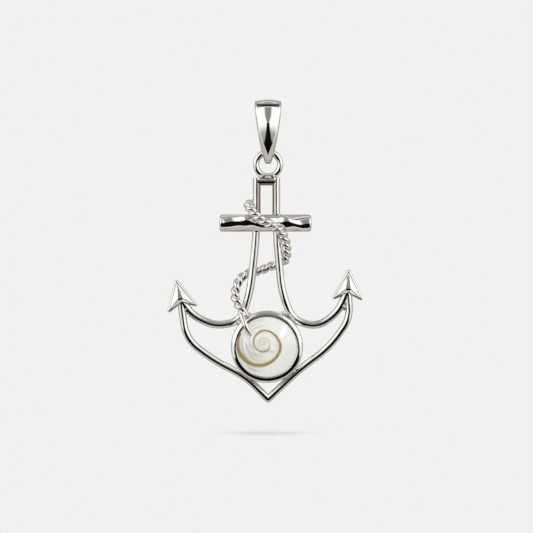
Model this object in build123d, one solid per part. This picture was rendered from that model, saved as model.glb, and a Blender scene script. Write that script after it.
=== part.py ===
"""Anchor pendant in polished silver with a round shell cabochon and a twisted wire rope.

+Z is up, +X is to the right in a front view and the front faces -Y. Millimetres.
The origin is the inside of the bail's crown, where the neck chain bears.
"""

from build123d import *

import os
from collections import namedtuple
from math import asin, atan2, ceil, cos, pi, radians, sin, sqrt, tan

# Bail: a crowned band that tapers from its crown to a narrow foot inside the ring
BAIL_LENGTH = 9.7
BAIL_WIDTH = 4.15
BAIL_FOOT_WIDTH = 0.95
BAIL_SIDE_BOW = 0.3
BAIL_DEPTH = 4.2
BAIL_FOOT_DEPTH = 2.2
BAIL_WALL = 0.7
BAIL_FOOT_THICK = 1.2
BAIL_CROWNING = 0.32
BAIL_EDGE_ROUND = 0.32

# Hanging ring, soldered upright on the top bar
RING_BORE = 2.67
RING_WIRE = 0.95
RING_PLAY = 0.1
RING_SINK = 0.3
SWING_ROOM_SHARE = 0.93

# Wire frame: drops are measured down from the middle of the top bar
ARM_WIRE = 1.18
KEEL_WIRE = 1.12
SHANK_GAP = 2.94
SHANK_SHIFT = -0.24
SHANK_END_ROUND = 0.15
STOCK_DROP = 6.22
CROWN_DROP = 32.6
CROWN_HALF_ANGLE = 48.5
BEND_SHARE = 0.45

# Stock: the solid cross bar
STOCK_LENGTH = 13.8
STOCK_THICK = 2.6
STOCK_SHIFT = -0.4
STOCK_END_ROUND = 0.45

# Bezel cup and shell: depths are measured forward from the plane of the wires
BEZEL_DIAMETER = 10.8
BEZEL_MOUTH = 9.0
BEZEL_WALL = 0.55
BEZEL_FLOOR = 0.5
BEZEL_BEHIND = 1.5
BEZEL_FRONT = 1.98
BEZEL_SHOULDER = 0.85
BEZEL_LIP = 0.15
BEZEL_BACK_ROUND = 0.3
BEZEL_SHIFT = -0.17
BEZEL_BITE = 0.08
SHELL_FIT = 0.05
SHELL_DOME = 0.6

# Flukes: ridged arrowheads, measured before their corners are rounded
FLUKE_LENGTH = 5.25
FLUKE_WIDTH = 5.3
FLUKE_NOTCH = 1.23
FLUKE_BACK = 0.6
FLUKE_RIM = 0.35
FLUKE_PEAK = 1.3
FLUKE_CORNER_ROUND = 0.3
FLUKE_EDGE_ROUND = 0.3
FLUKE_BACK_ROUND = 0.12
FLUKE_PEAK_SETBACK = 0.12
FLUKE_ROOT_DEPTH = 3.45

# Places of the flukes' sharp tips: out from the middle and down from the top bar
LEFT_REACH = 13.88
LEFT_TIP_DROP = 14.38
RIGHT_REACH = 12.13
RIGHT_TIP_DROP = 12.85

# Solder: beads between the wires and the bezel, in the crotches and under the ring
SOLDER_BEAD = 0.66
CROTCH_BALL = 1.0
RING_PAD_LENGTH = 3.0
RING_PAD = 0.9

# Rope of two strands, whose twist loosens towards its lower end. The first strand runs on
# past the rope as a straight tail with a drawn-out point, and the second ends bluntly.
STRAND_WIRE = 0.58
STRAND_GAP = 0.07
ROPE_LAY_TOP = 1.95
ROPE_LAY_END = 2.7
ROPE_CLEAR = 0.08
TAIL_LENGTH = 3.2
TAIL_POINT = 2.0
TAIL_TIP = 0.1
STUB_LENGTH = 0.3
UNTWIST_LENGTH = 1.4
STRAND_SIDES = 8
STRAND_STEP = 0.17

# Heights that follow from the sizes above
BAIL_CROWN_Z = BAIL_WALL - BAIL_DEPTH / 2
BAIL_TOP_Z = BAIL_WALL
BAIL_FOOT_Z = BAIL_TOP_Z - BAIL_LENGTH
PIN_Z = BAIL_FOOT_Z + BAIL_FOOT_THICK + RING_PLAY + RING_WIRE / 2
RING_RADIUS = (RING_BORE + RING_WIRE) / 2
RING_Z = PIN_Z - RING_RADIUS
BAR_Z = RING_Z - RING_RADIUS - RING_WIRE / 2 + RING_SINK - ARM_WIRE / 2
STOCK_Z = BAR_Z - STOCK_DROP
CROWN_Z = BAR_Z - CROWN_DROP
BEZEL_RADIUS = BEZEL_DIAMETER / 2
BEZEL_REACH = BEZEL_RADIUS + KEEL_WIRE / 2 - BEZEL_BITE
BEZEL_Z = CROWN_Z + BEZEL_REACH / sin(radians(CROWN_HALF_ANGLE))
ROPE_RADIUS = STRAND_WIRE + STRAND_GAP / 2

# A wire's corner, as shares of its side's reach and of the crown drop
Turn = namedtuple("Turn", "reach drop")
# A wire's corner beside the bezel, where share 1 puts its middle on the bezel's rim
Touch = namedtuple("Touch", "angle_deg share")
# A solder bead on the bezel's rim, anticlockwise from +X in a front view
Bead = namedtuple("Bead", "angle_deg span_deg")
Side = namedtuple("Side", "name hand reach tip_drop lean_deg arm keel")

SIDES = (
    Side(
        name="left",
        hand=-1,
        reach=LEFT_REACH,
        tip_drop=LEFT_TIP_DROP,
        lean_deg=12.8,
        arm=(Turn(0.190, 0.500), Touch(135.8, 0.93), Turn(0.572, 0.665), Turn(0.811, 0.617)),
        keel=(Touch(-124.0, 0.94), Turn(0.599, 0.819), Turn(0.889, 0.723)),
    ),
    Side(
        name="right",
        hand=1,
        reach=RIGHT_REACH,
        tip_drop=RIGHT_TIP_DROP,
        lean_deg=2.3,
        arm=(Turn(0.167, 0.504), Touch(46.2, 0.94), Turn(0.605, 0.669), Turn(0.856, 0.605)),
        keel=(Touch(-37.0, 1.0), Turn(0.754, 0.764), Turn(1.014, 0.629)),
    ),
)
BEADS = (Bead(130, 22), Bead(52, 26), Bead(-127, 28), Bead(-49, 24))

# Rope route beside the shank: x is a share of the shank's gap, drop a share of the named
# level's drop below the top bar, and forward a share of what the rope passes
RoutePoint = namedtuple("RoutePoint", "x level drop passes forward")
# Rope route beside the bezel: its angle from +X in a front view and a share of its radius
RimPoint = namedtuple("RimPoint", "angle_deg reach passes forward")
LEVELS = {"stock": STOCK_DROP, "crown": CROWN_DROP}
PASSES = {
    "behind": -(ARM_WIRE / 2 + ROPE_CLEAR + ROPE_RADIUS),
    "stock": STOCK_THICK / 2 + ROPE_CLEAR + ROPE_RADIUS,
    "wire": ARM_WIRE / 2 + ROPE_CLEAR + ROPE_RADIUS,
    "rim": BEZEL_FRONT + ROPE_CLEAR + STRAND_WIRE / 2,
}
ROPE_ROUTE = (
    RoutePoint(-0.592, "stock", 0.558, "behind", 1.00),
    RoutePoint(-0.847, "stock", 0.516, "behind", 0.80),
    RoutePoint(-1.017, "stock", 0.577, "wire", 0.00),
    RoutePoint(-0.925, "stock", 0.666, "wire", 0.73),
    RoutePoint(-0.714, "stock", 0.788, "wire", 1.15),
    RoutePoint(-0.439, "stock", 0.904, "stock", 0.95),
    RoutePoint(-0.099, "stock", 1.000, "stock", 1.00),
    RoutePoint(0.245, "stock", 1.085, "stock", 1.00),
    RoutePoint(0.558, "stock", 1.177, "stock", 0.85),
    RoutePoint(0.813, "stock", 1.330, "wire", 0.80),
    RoutePoint(0.939, "stock", 1.518, "wire", 0.30),
    RoutePoint(0.959, "crown", 0.3236, "behind", 0.15),
    RoutePoint(0.915, "crown", 0.3534, "behind", 0.60),
    RoutePoint(0.724, "crown", 0.3745, "behind", 0.95),
    RoutePoint(0.405, "crown", 0.3828, "behind", 1.02),
    RoutePoint(0.048, "crown", 0.3929, "behind", 1.00),
    RoutePoint(-0.313, "crown", 0.4064, "behind", 1.00),
    RoutePoint(-0.694, "crown", 0.4160, "behind", 1.03),
    RoutePoint(-1.058, "crown", 0.4233, "behind", 0.90),
    RoutePoint(-1.395, "crown", 0.4454, "behind", 0.55),
    RoutePoint(-1.588, "crown", 0.4745, "behind", 0.20),
    RimPoint(119.8, 1.772, "wire", 0.12),
    RimPoint(122.8, 1.632, "wire", 0.42),
    RimPoint(123.9, 1.474, "wire", 0.73),
    RimPoint(124.6, 1.330, "wire", 1.04),
    RimPoint(125.9, 1.111, "rim", 0.79),
    RimPoint(129.1, 0.911, "rim", 1.00),
    RimPoint(138.2, 0.536, "rim", 0.97),
)


def at(x, z, forward=0.0):
    """A point of the front plane, forward of the middle of the wires."""
    return Vector(x, -forward, z)


def ball(centre, diameter):
    return Pos(*centre) * Sphere(diameter / 2)


def bent_wire(points, thickness):
    """Round wire through corner points, each bend as wide as its runs allow."""
    radii = []
    for before, corner, after in zip(points, points[1:], points[2:]):
        shorter = min((corner - before).length, (after - corner).length)
        turn = radians((corner - before).get_angle(after - corner))
        radii.append(BEND_SHARE * shorter / tan(turn / 2))
    path = FilletPolyline(*points, radius=radii)
    section = Plane(origin=points[0], z_dir=points[1] - points[0]) * Circle(thickness / 2)
    return sweep(section, path=path)


def pear(top_z, top_radius, low_z, low_radius):
    """Closed side-view outline: a half circle, a smaller arc below it and bowed sides."""
    height = top_z - low_z
    bow = (height**2 + top_radius**2 - low_radius**2) / (2 * (top_radius - low_radius))
    turn = asin(height / (bow - low_radius))
    top = Vector(0, 0, top_z)
    low = Vector(0, 0, low_z)
    top_front = top - Vector(0, top_radius, 0)
    top_back = top + Vector(0, top_radius, 0)
    # each side turns about a point beyond the other one, and meets both circles smoothly
    half_way = Vector(0, cos(turn / 2), -sin(turn / 2)) * bow
    low_way = Vector(0, cos(turn), -sin(turn)) * low_radius
    back_middle = top_back - Vector(0, bow, 0) + half_way
    low_back = low + low_way
    return Wire(
        [
            ThreePointArc(top_front, top + Vector(0, 0, top_radius), top_back),
            ThreePointArc(top_back, back_middle, low_back),
            ThreePointArc(low_back, low - Vector(0, 0, low_radius), across(low_back)),
            ThreePointArc(across(low_back), across(back_middle), top_front),
        ]
    )


def across(point):
    """The point mirrored from the back to the front."""
    return Vector(point.X, -point.Y, point.Z)


def swing_room():
    """What the ring sweeps through the bail's foot: an hourglass about the swing axis."""
    inside = RING_BORE / 2 - RING_PLAY
    half = inside * SWING_ROOM_SHARE
    waist = RING_RADIUS - inside
    flare = RING_RADIUS - sqrt(inside**2 - half**2)
    profile = make_face(
        ThreePointArc((-half, flare), (0, waist), (half, flare))
        + Polyline((half, flare), (half, 0), (-half, 0), (-half, flare))
    )
    pin = Plane(origin=at(0, PIN_Z), x_dir=(1, 0, 0), z_dir=(0, -1, 0))
    return revolve(pin * profile, axis=Axis((0, 0, PIN_Z), (1, 0, 0)))


def bail_outline():
    """Front view of the bail: its sides bow out between the crown and the foot."""
    half = BAIL_WIDTH / 2
    foot_half = BAIL_FOOT_WIDTH / 2
    past = BAIL_DEPTH
    middle = ((half + foot_half) / 2 + BAIL_SIDE_BOW, (BAIL_TOP_Z + BAIL_FOOT_Z) / 2)
    side = ThreePointArc((half, BAIL_TOP_Z), middle, (foot_half, BAIL_FOOT_Z))
    top = Polyline((0, BAIL_TOP_Z + past), (half, BAIL_TOP_Z + past), (half, BAIL_TOP_Z))
    foot = Polyline((foot_half, BAIL_FOOT_Z), (foot_half, BAIL_FOOT_Z - past), (0, BAIL_FOOT_Z - past))
    right = top + side + foot
    return make_face(right + mirror(right, about=Plane.YZ))


def make_bail():
    half = BAIL_WIDTH / 2
    foot_z = BAIL_FOOT_Z + BAIL_FOOT_DEPTH / 2
    path = pear(BAIL_CROWN_Z, BAIL_DEPTH / 2, foot_z, BAIL_FOOT_DEPTH / 2)
    # the band's section, crowned on its outer side
    depth = BAIL_CROWNING + BAIL_WALL / 2
    crowned = ThreePointArc((-half, BAIL_CROWNING), (0, 0), (half, BAIL_CROWNING))
    inner = Polyline((half, BAIL_CROWNING), (half, depth), (-half, depth), (-half, BAIL_CROWNING))
    start = Plane(origin=path @ 0, x_dir=(1, 0, 0), z_dir=path % 0)
    band = sweep(start * make_face(crowned + inner), path=path)
    # a core closes the band, so that its sides are cut and rounded as one body
    core_shrink = BAIL_CROWNING + BAIL_WALL / 4
    core = pear(
        BAIL_CROWN_Z,
        BAIL_DEPTH / 2 - core_shrink,
        foot_z,
        BAIL_FOOT_DEPTH / 2 - core_shrink,
    )
    body = band + extrude(Face(core), amount=half, dir=(1, 0, 0), both=True)
    body = body & extrude(Plane.XZ * bail_outline(), amount=BAIL_DEPTH, both=True)
    rims = [face.outer_wire().edges() for face in side_faces(body)]
    body = fillet([edge for rim in rims for edge in rim], BAIL_EDGE_ROUND)
    eye = pear(BAIL_CROWN_Z, BAIL_DEPTH / 2 - BAIL_WALL, PIN_Z, RING_WIRE / 2 + RING_PLAY)
    body = body - extrude(Face(eye), amount=BAIL_WIDTH, dir=(1, 0, 0), both=True)
    return body - swing_room()


def side_faces(body):
    """The two faces that close a band at its sides."""
    faces = body.faces().sort_by(Axis.X)
    return faces[0], faces[-1]


def make_ring():
    ring = Pos(0, 0, RING_Z) * Rot(X=90) * Torus(RING_RADIUS, RING_WIRE / 2)
    pad_z = BAR_Z + ARM_WIRE / 2
    reach = (RING_PAD_LENGTH - RING_PAD) / 2
    pad = Pos(0, 0, pad_z) * Rot(Y=90) * Cylinder(RING_PAD / 2, 2 * reach)
    for hand in (-1, 1):
        pad += ball(at(hand * reach, pad_z), RING_PAD)
    return ring, pad


def shank_x(side):
    return SHANK_SHIFT + side.hand * SHANK_GAP / 2


def make_stock():
    stock = Cylinder(STOCK_THICK / 2, STOCK_LENGTH)
    stock = fillet(stock.edges().filter_by(GeomType.CIRCLE), STOCK_END_ROUND)
    return Pos(STOCK_SHIFT, 0, STOCK_Z) * Rot(Y=90) * stock


def shank_top(side):
    """The square-cut upper end of a side's wire, with the bar's half beside it."""
    height = ARM_WIRE / 2
    end = Cylinder(ARM_WIRE / 2, 2 * height)
    end = fillet(end.edges().filter_by(GeomType.CIRCLE).sort_by(Axis.Z)[-1], SHANK_END_ROUND)
    length = SHANK_GAP / 2
    bar = Rot(Y=90) * Cylinder(ARM_WIRE / 2, length)
    return Pos(shank_x(side), 0, BAR_Z) * (end + Pos(-side.hand * length / 2, 0, 0) * bar)


def fluke_plane(side):
    """Plane of a side's fluke, with its sharp tip at the origin and its axis along y."""
    lean = radians(side.lean_deg)
    tip = at(side.hand * side.reach, BAR_Z - side.tip_drop)
    return Plane(origin=tip, x_dir=(cos(lean), 0, -side.hand * sin(lean)), z_dir=(0, -1, 0))


def fluke_root(side):
    """Where the arm and keel wires end inside the fluke."""
    return fluke_plane(side).from_local_coords(Vector(0, -FLUKE_ROOT_DEPTH, 0))


def beside_bezel(angle_deg, reach, forward=0.0):
    """A point at an angle and a distance from the bezel's middle."""
    angle = radians(angle_deg)
    return at(BEZEL_SHIFT + reach * cos(angle), BEZEL_Z + reach * sin(angle), forward)


def corner_point(side, corner):
    """Place of one corner of an arm or keel wire."""
    if isinstance(corner, Turn):
        return at(side.hand * side.reach * corner.reach, BAR_Z - CROWN_DROP * corner.drop)
    return beside_bezel(corner.angle_deg, BEZEL_REACH * corner.share)


def arm(side):
    top = at(shank_x(side), BAR_Z)
    below_stock = at(shank_x(side), STOCK_Z - STOCK_THICK / 2)
    corners = [corner_point(side, corner) for corner in side.arm]
    return bent_wire([top, below_stock, *corners, fluke_root(side)], ARM_WIRE)


def keel(side):
    corners = [corner_point(side, corner) for corner in side.keel]
    return bent_wire([at(0, CROWN_Z), *corners, fluke_root(side)], KEEL_WIRE)


def roof_corners():
    """The fluke's outline drawn in by its rounded edge: tip, corners and notch."""
    half = FLUKE_WIDTH / 2
    tip_angle = atan2(half, FLUKE_LENGTH)
    notch_angle = atan2(FLUKE_NOTCH, half)
    tip_y = -FLUKE_EDGE_ROUND / sin(tip_angle)
    notch_y = FLUKE_NOTCH - FLUKE_LENGTH + FLUKE_EDGE_ROUND / cos(notch_angle)
    corner_x = (tip_y - notch_y) * tan(tip_angle) / (1 - tan(notch_angle) * tan(tip_angle))
    corner_y = notch_y - corner_x * tan(notch_angle)
    return (0, tip_y), (corner_x, corner_y), (0, notch_y), (-corner_x, corner_y)


def fluke(side):
    half = FLUKE_WIDTH / 2
    outline = Polyline(
        (0, 0),
        (half, -FLUKE_LENGTH),
        (0, FLUKE_NOTCH - FLUKE_LENGTH),
        (-half, -FLUKE_LENGTH),
        close=True,
    )
    outline = make_face(outline)
    outline = fillet(outline.vertices(), FLUKE_CORNER_ROUND)
    plate = extrude(outline, amount=FLUKE_BACK + FLUKE_RIM)
    plate = Pos(0, 0, -FLUKE_BACK) * plate
    plate = fillet(plate.faces().sort_by(Axis.Z)[-1].edges(), FLUKE_EDGE_ROUND)
    plate = fillet(plate.faces().sort_by(Axis.Z)[0].edges(), FLUKE_BACK_ROUND)
    base_z = FLUKE_RIM - FLUKE_EDGE_ROUND / 2
    base = [Vector(x, y, base_z) for x, y in roof_corners()]
    peak = Vector(0, base[2].Y + FLUKE_PEAK_SETBACK, FLUKE_PEAK)
    faces = [Face(Wire.make_polygon(base))]
    for first, second in zip(base, base[1:] + base[:1]):
        faces.append(Face(Wire.make_polygon([first, second, peak])))
    return fluke_plane(side) * (plate + Solid(Shell(faces)))


def bezel_plane():
    return Plane(origin=at(BEZEL_SHIFT, BEZEL_Z), x_dir=(1, 0, 0), z_dir=(0, -1, 0))


def seat_radius():
    return BEZEL_RADIUS - BEZEL_WALL


def turned(profile):
    """Solid turned about the bezel's axis from a closed outline of radius and depth."""
    upright = Plane(origin=(0, 0, 0), x_dir=(1, 0, 0), z_dir=(0, -1, 0))
    return bezel_plane() * revolve(upright * profile, axis=Axis.Z)


def bezel():
    mouth = BEZEL_MOUTH / 2
    floor = BEZEL_FLOOR - BEZEL_BEHIND
    shoulder = BEZEL_FRONT - BEZEL_SHOULDER
    under_lip = BEZEL_FRONT - BEZEL_LIP
    start = (BEZEL_RADIUS, shoulder)
    outer = Line((0, -BEZEL_BEHIND), (BEZEL_RADIUS - BEZEL_BACK_ROUND, -BEZEL_BEHIND))
    corner = TangentArc(outer @ 1, (BEZEL_RADIUS, BEZEL_BACK_ROUND - BEZEL_BEHIND), tangent=(1, 0))
    wall = Line(corner @ 1, start)
    rim = TangentArc(start, (mouth, BEZEL_FRONT), tangent=(0, 1))
    inner = Polyline(
        rim @ 1,
        (mouth, under_lip),
        (seat_radius(), under_lip - BEZEL_LIP / 2),
        (seat_radius(), floor),
        (0, floor),
        (0, -BEZEL_BEHIND),
    )
    return turned(make_face(outer + corner + wall + rim + inner))


def make_shell():
    radius = seat_radius() - SHELL_FIT
    floor = BEZEL_FLOOR - BEZEL_BEHIND + SHELL_FIT
    rim = BEZEL_FRONT - BEZEL_LIP * 3 / 2 - SHELL_FIT
    dome_radius = (radius**2 + SHELL_DOME**2) / (2 * SHELL_DOME)
    side_wall = Polyline((0, floor), (radius, floor), (radius, rim))
    dome = RadiusArc((radius, rim), (0, rim + SHELL_DOME), -dome_radius)
    return turned(make_face(side_wall + dome + Line((0, rim + SHELL_DOME), (0, floor))))


def solder_bead(bead):
    """Rounded run of solder along the bezel's wall, in the valley beside a wire."""
    reach = BEZEL_RADIUS + BEZEL_BITE
    start = radians(bead.angle_deg - bead.span_deg / 2)
    end = radians(bead.angle_deg + bead.span_deg / 2)
    arc = CenterArc((0, 0), reach, bead.angle_deg - bead.span_deg / 2, bead.span_deg)
    first = Vector(reach * cos(start), reach * sin(start))
    last = Vector(reach * cos(end), reach * sin(end))
    section = Plane(origin=arc @ 0, z_dir=arc % 0) * Circle(SOLDER_BEAD / 2)
    run = sweep(section, path=arc) + ball(first, SOLDER_BEAD) + ball(last, SOLDER_BEAD)
    return bezel_plane() * run


def crotch(side):
    """Ball of solder where a side's arm and keel wires part below the fluke."""
    place = Vector(-side.hand * CROTCH_BALL / 2, -FLUKE_LENGTH, 0)
    return ball(fluke_plane(side).from_local_coords(place), CROTCH_BALL)


def make_anchor():
    pieces = [*make_ring(), make_stock(), bezel(), ball(at(0, CROWN_Z), KEEL_WIRE)]
    pieces += [solder_bead(bead) for bead in BEADS]
    for side in SIDES:
        pieces += [arm(side), shank_top(side), keel(side), fluke(side), crotch(side)]
    return pieces[0].fuse(*pieces[1:])


def route_place(point):
    """Place of one point of the rope's route."""
    forward = PASSES[point.passes] * point.forward
    if isinstance(point, RimPoint):
        return beside_bezel(point.angle_deg, BEZEL_RADIUS * point.reach, forward)
    return at(SHANK_GAP * point.x, BAR_Z - LEVELS[point.level] * point.drop, forward)


def rope_line():
    """The rope's middle line, run on to the end of the first strand's tail."""
    return Spline(*[route_place(point) for point in ROPE_ROUTE])


def strand_line(line, side, length):
    """Points along one strand, which winds about the rope's line and then runs straight."""
    rope_end = line.length - TAIL_LENGTH
    steps = ceil(length / STRAND_STEP)
    step = length / steps
    axes = []
    side_way = Vector(1, 0, 0)
    for i in range(steps + 1):
        along = i * step
        place = line.position_at(along, position_mode=PositionMode.LENGTH)
        ahead = line.tangent_at(along, position_mode=PositionMode.LENGTH).normalized()
        side_way = (side_way - ahead * side_way.dot(ahead)).normalized()
        axes.append((along, place, ahead, side_way))
    # the frame that is carried along is turned so that the strands lie side by side at the end
    ahead, side_way = axes[-1][2], axes[-1][3]
    level = Vector(0, 1, 0).cross(ahead)
    offset = atan2(ahead.cross(side_way).dot(level), side_way.dot(level))
    turned = 0.0
    points = []
    for along, place, ahead, side_way in reversed(axes):
        lay = ROPE_LAY_TOP + (ROPE_LAY_END - ROPE_LAY_TOP) * along / rope_end
        twist = min(1, max(0, (rope_end - along) / UNTWIST_LENGTH))
        turned += 2 * pi * twist * step / lay
        angle = offset + turned
        out = side_way * cos(angle) + ahead.cross(side_way) * sin(angle)
        points.append(place + out * (side * (STRAND_WIRE + STRAND_GAP) / 2))
    return points[::-1]


def faceted_tube(points, diameters):
    """Closed tube of flat triangles round a line of points."""
    rings = []
    side_way = Vector(1, 0, 0)
    last = len(points) - 1
    for i, place in enumerate(points):
        ahead = (points[min(i + 1, last)] - points[max(i - 1, 0)]).normalized()
        side_way = (side_way - ahead * side_way.dot(ahead)).normalized()
        up_way = ahead.cross(side_way)
        ring = []
        for j in range(STRAND_SIDES):
            angle = 2 * pi * j / STRAND_SIDES
            out = side_way * cos(angle) + up_way * sin(angle)
            ring.append(place + out * (diameters[i] / 2))
        rings.append(ring)
    triangles = []
    for near, far in zip(rings, rings[1:]):
        for j in range(STRAND_SIDES):
            k = (j + 1) % STRAND_SIDES
            triangles.append((near[j], near[k], far[k]))
            triangles.append((near[j], far[k], far[j]))
    faces = [Face(Wire.make_polygon(corners)) for corners in triangles]
    faces.append(Face(Wire.make_polygon(rings[0])))
    faces.append(Face(Wire.make_polygon(rings[-1])))
    return Solid(Shell(faces))


def rope_strand(line, side):
    """One strand of the rope, side 1 with the tail and side -1 with the blunt end."""
    if side > 0:
        length = line.length
        points = strand_line(line, side, length)
        point_start = length - TAIL_POINT
        diameters = []
        for i in range(len(points)):
            along = length * i / (len(points) - 1)
            drawn = max(0, (along - point_start) / TAIL_POINT)
            diameters.append(STRAND_WIRE + (TAIL_TIP - STRAND_WIRE) * drawn)
    else:
        length = line.length - TAIL_LENGTH + STUB_LENGTH
        points = strand_line(line, side, length)
        diameters = [STRAND_WIRE] * len(points)
    return faceted_tube(points, diameters)


def save(name, solid):
    os.makedirs("parts", exist_ok=True)
    export_step(solid, f"parts/{name}.step")


rope = rope_line()
save("bail", make_bail())
save("anchor_frame", make_anchor())
save("shell", make_shell())
save("rope_strand_1", rope_strand(rope, 1))
save("rope_strand_2", rope_strand(rope, -1))
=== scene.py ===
# %% [markdown]
# # An anchor pendant in polished silver
# The pendant is built from silver wire, two ridged flukes and a round cup that holds a shell
# cabochon. A rope of two twisted wires winds round the shank. The metal parts come from CAD
# and keep their shape. Blender adds what a ruler doesn't measure: the polish, the grown line
# of the shell, the soft seams of the soldering, and the light.

# %% The frame
from collections import namedtuple
from math import pi, radians

import bpy
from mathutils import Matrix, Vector


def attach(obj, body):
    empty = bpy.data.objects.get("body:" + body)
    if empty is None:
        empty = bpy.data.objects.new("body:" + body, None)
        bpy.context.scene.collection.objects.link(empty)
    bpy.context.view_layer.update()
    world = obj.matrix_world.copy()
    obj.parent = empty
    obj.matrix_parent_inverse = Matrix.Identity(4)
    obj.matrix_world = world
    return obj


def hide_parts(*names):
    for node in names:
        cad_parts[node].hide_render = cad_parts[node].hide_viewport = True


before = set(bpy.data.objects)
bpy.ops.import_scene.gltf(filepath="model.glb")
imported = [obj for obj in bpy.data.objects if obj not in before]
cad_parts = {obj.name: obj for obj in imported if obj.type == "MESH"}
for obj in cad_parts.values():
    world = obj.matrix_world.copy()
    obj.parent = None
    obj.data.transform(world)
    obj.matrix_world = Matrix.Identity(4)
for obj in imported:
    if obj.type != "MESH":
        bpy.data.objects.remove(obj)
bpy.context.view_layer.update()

MM = 0.001
scene = bpy.context.scene
print("nodes:", sorted(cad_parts))


# %% [markdown]
# ## Small helpers
# Colours are read off a colour card as sRGB hex values, while Blender computes in linear
# light, so one function turns the one into the other. A material is a chain of nodes, and one
# function adds a node of any kind with its settings and inputs. The others stand for steps
# that come again and again: a mask that fades in along a value, the part that masks share,
# and a colour laid over another one where its masks show.

# %% Helpers
def linear(hex_colour):
    """sRGB hex colour as a linear RGBA value."""
    channels = []
    for start in (1, 3, 5):
        share = int(hex_colour[start:start + 2], 16) / 255
        channels.append(share / 12.92 if share <= 0.04045 else ((share + 0.055) / 1.055) ** 2.4)
    return (*channels, 1.0)


def add_node(tree, kind, inputs=(), **settings):
    """Adds a node with its settings. Inputs go by name, or in the order of those in use.

    An input is a value, the output of a node, or a node, which gives its first output in use.
    """
    node = tree.nodes.new("ShaderNode" + kind)
    for name, value in settings.items():
        setattr(node, name, value)
    if isinstance(inputs, dict):
        filled = [(node.inputs[name], value) for name, value in inputs.items()]
    else:
        filled = zip([socket for socket in node.inputs if socket.enabled], inputs)
    for socket, value in filled:
        if isinstance(value, bpy.types.Node):
            value = next(output for output in value.outputs if output.enabled)
        if isinstance(value, bpy.types.NodeSocket):
            tree.links.new(value, socket)
        else:
            socket.default_value = value
    return node


def overlap(tree, *masks):
    """One mask that shows where all the given ones do."""
    shared = masks[0]
    for mask in masks[1:]:
        shared = add_node(tree, "Math", [shared, mask], operation="MULTIPLY")
    return shared


def fade(tree, value, *limits):
    """Mask along a value, 0 at the first limit and 1 at the second, with a soft step.

    With four limits it stays at 1 as far as the third and is 0 again from the fourth on.
    """
    pairs = [limits[:2]]
    if len(limits) > 2:
        pairs.append((limits[3], limits[2]))
    steps = []
    for start, full in pairs:
        step = add_node(tree, "MapRange", [value, start, full], interpolation_type="SMOOTHSTEP")
        steps.append(step)
    return overlap(tree, *steps)


def lay_over(tree, colour, hex_colour, *masks):
    """A colour with another one laid over it where all the masks show."""
    cover = overlap(tree, *masks)
    return add_node(tree, "Mix", [cover, colour, linear(hex_colour)], data_type="RGBA")


def new_material(name):
    """A new material and its node tree, still empty."""
    material = bpy.data.materials.new(name)
    material.use_nodes = True
    material.node_tree.nodes.clear()
    return material, material.node_tree


def paint(piece, material):
    """Gives the whole piece one material."""
    piece.data.materials.clear()
    piece.data.materials.append(material)


print("half grey in linear light:", round(linear("#808080")[0], 3))


# %% [markdown]
# ## Polished silver
# The metal is sterling silver, soldered and then polished on a cloth wheel with rouge. The
# wheel leaves a mirror that isn't quite flat: it follows low waves a millimetre or two
# across, left by filing and by the soft cloth. A photo of the waves could be used, but a
# noise has no seams and fits any piece. So the shader is a plain metal with little roughness,
# and bumps a few hundredths of a millimetre high bend its mirror. The default IOR stays,
# because a metal's reflection comes from its base colour.

# %% Polished silver
SILVER_WHITE = "#F3F2F0"
WHEEL_ROUGHNESS = 0.05
WAVE_WIDE = 2.4 * MM
WAVE_FINE = 0.9 * MM


def in_mm(tree, place, middle=(0.0, 0.0, 0.0)):
    """How far a place is to the right of a middle, behind it and above it, in mm."""
    centred = add_node(
        tree,
        "Mapping",
        {"Vector": place, "Location": Vector(middle) * MM, "Scale": (MM, MM, MM)},
        vector_type="TEXTURE",
    )
    return add_node(tree, "SeparateXYZ", [centred]).outputs


def waves(tree, place, length, height, detail=0.0, below=None):
    """Relief of soft waves with a length and a height in metres, on top of another relief."""
    noise = add_node(tree, "TexNoise", {"Vector": place, "Scale": 1 / length, "Detail": detail})
    inputs = {"Height": noise, "Distance": height}
    if below is not None:
        inputs["Normal"] = below
    return add_node(tree, "Bump", inputs)


def finish_metal(tree, tone, roughness, relief):
    """The last nodes of a silver: bare metal with its tone, its roughness and its relief."""
    metal = add_node(
        tree,
        "BsdfPrincipled",
        {"Base Color": tone, "Metallic": 1.0, "Roughness": roughness, "Normal": relief},
    )
    add_node(tree, "OutputMaterial", [metal])


print("waves of the polish, mm:", WAVE_WIDE / MM, "and", WAVE_FINE / MM)


# %% [markdown]
# ## The frame's silver
# All the soldered silver has the polish of the wheel. The stock, the cross bar, was hammered
# lightly before that, so along its front run slow dents and two flat planes that lean over
# the round. They are too shallow to change its outline, so a height in millimetres drawn in
# the shader is enough and the rod of the CAD stays round. In the window above the stock the
# two shanks mirror each other and look darker, and that darker reflection is painted shade: a
# grey tint on their inner sides. Lengths in the shader are in millimetres, and a lean is a
# rise in millimetres for each one sideways.

# %% The frame's silver
STOCK_MIDDLE = (0.0, 0.0, -17.83)
STOCK_ROUND = (1.36, 1.26)
STOCK_FRONT = (-0.3, -0.6)
FRAME_WIDE_RISE = 0.030 * MM
FRAME_FINE_RISE = 0.004 * MM
DENT_START = -4.3
DENT_SLANT = 0.6
DENT_LENGTH = 5.7
DENT_RISE = 0.20
TWIST = 0.02
Plane = namedtuple("Plane", "right reach lean")
PLANES = (Plane(-2.7, 1.5, 0.24), Plane(3.3, 1.4, 0.24))
silver, tree = new_material("silver_polished_on_the_wheel")
place = add_node(tree, "TexCoord").outputs["Object"]
right, back, up = in_mm(tree, place, STOCK_MIDDLE)
wide = waves(tree, place, WAVE_WIDE, FRAME_WIDE_RISE)
fine = waves(tree, place, WAVE_FINE, FRAME_FINE_RISE, below=wide)
from_start = add_node(tree, "Math", [right, DENT_START], operation="SUBTRACT")
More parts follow.
